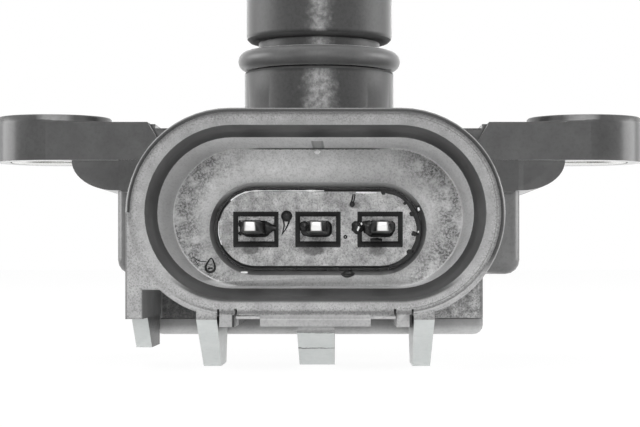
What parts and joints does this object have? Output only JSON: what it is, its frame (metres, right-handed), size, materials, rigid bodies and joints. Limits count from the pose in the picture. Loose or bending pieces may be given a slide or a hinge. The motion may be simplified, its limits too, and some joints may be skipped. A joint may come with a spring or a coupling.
{
  "type": "manifold absolute pressure sensor",
  "caption": "Bolt-on pressure sensor with an O-ring sealed port tube, eared flange and oval connector socket with blade terminals, keying rails and a lock ramp",
  "frame": {"origin": "On the port tube's axis, in the plane of the two ear seats that rest on the intake manifold", "axes": "+Z along the port tube, out of the sensor and into the manifold; -Y out of the connector socket's mouth; +X along the flange, from ear to ear"},
  "size_m": [0.055, 0.0312, 0.0342],
  "materials": {
    "moulded_plastic": "black glass-filled moulding, faded to grey where it is grained",
    "carrier_plastic": "black glass-filled moulding, slightly greyer",
    "ring_rubber": "smooth black rubber",
    "sleeve_metal": "bright plated steel",
    "terminal_metal": "bright tinned bronze",
    "sealing_resin": "dark glossy potting resin",
    "board_laminate": "green solder mask",
    "cell_ceramic": "white alumina",
    "cell_glass": "clear borosilicate",
    "cell_silicon": "polished silicon",
    "cell_gel": "soft clear gel",
    "chip_plastic": "black mould compound",
    "capacitor_ceramic": "brown ceramic",
    "resistor_glaze": "dark glaze"
  },
  "bodies": {
    "root": {"housing": "moulded_plastic", "port_o_ring": "ring_rubber", "bolt_sleeve_left": "sleeve_metal", "bolt_sleeve_right": "sleeve_metal", "terminal_carrier": "carrier_plastic", "carrier_sealant": "sealing_resin", "terminal_left": "terminal_metal", "terminal_middle": "terminal_metal", "terminal_right": "terminal_metal", "terminal_resin_left": "sealing_resin", "terminal_resin_middle": "sealing_resin", "terminal_resin_right": "sealing_resin", "circuit_board": "board_laminate", "cell_case": "cell_ceramic", "cell_glass_base": "cell_glass", "cell_die": "cell_silicon", "cell_gel": "cell_gel", "cell_seal_ring": "ring_rubber", "signal_chip": "chip_plastic", "capacitor_1": "capacitor_ceramic", "capacitor_2": "capacitor_ceramic", "capacitor_3": "capacitor_ceramic", "resistor": "resistor_glaze", "cover": "moulded_plastic", "cover_glue": "sealing_resin"}
  },
  "joints": []
}
